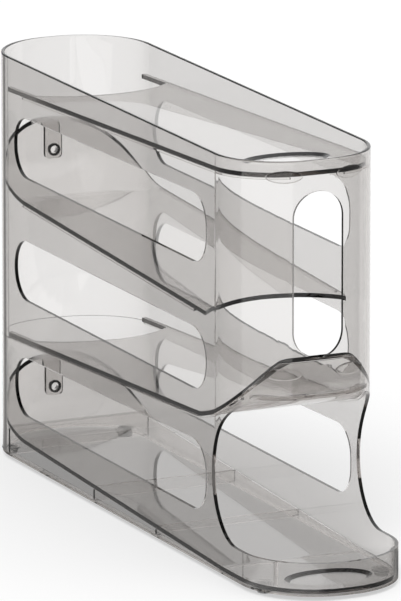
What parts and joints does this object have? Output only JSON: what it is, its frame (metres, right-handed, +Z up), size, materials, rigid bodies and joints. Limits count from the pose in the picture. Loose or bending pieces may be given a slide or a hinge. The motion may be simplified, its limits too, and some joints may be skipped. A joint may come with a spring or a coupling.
{
  "type": "egg dispenser",
  "caption": "Tall narrow see-through dispenser with sloping decks that roll eggs down from tier to tier to a low pick-up nose at the front.",
  "frame": {"origin": "middle of the bounding box, at the underside of the feet", "axes": "+Z up, -Y towards the pick-up nose at the front, +X to the right of someone facing that nose"},
  "size_m": [0.085, 0.38, 0.2235],
  "materials": {
    "shell_plastic": "clear smoke grey, polished",
    "deck_plastic": "clear smoke grey, polished",
    "pin_plastic": "clear, polished",
    "foot_rubber": "soft, satin"
  },
  "bodies": {
    "lower_module": {"lower_shell": "shell_plastic", "bottom_deck": "deck_plastic", "bottom_deck_pin": "pin_plastic", "third_deck": "deck_plastic", "foot_front_left": "foot_rubber", "foot_rear_left": "foot_rubber", "foot_front_right": "foot_rubber", "foot_rear_right": "foot_rubber"},
    "upper_module": {"upper_shell": "shell_plastic", "second_deck": "deck_plastic", "second_deck_pin": "pin_plastic"},
    "loose_top_deck": {"top_deck": "deck_plastic"}
  },
  "joints": [
    {"name": "upper_lift", "type": "slide", "parent": "lower_module", "child": "upper_module", "axis": [0, 0, 1], "range_m": [0, 0.06]},
    {"name": "top_deck_lift", "type": "slide", "parent": "upper_module", "child": "loose_top_deck", "axis": [0, 0, 1], "range_m": [0, 0.04]}
  ]
}
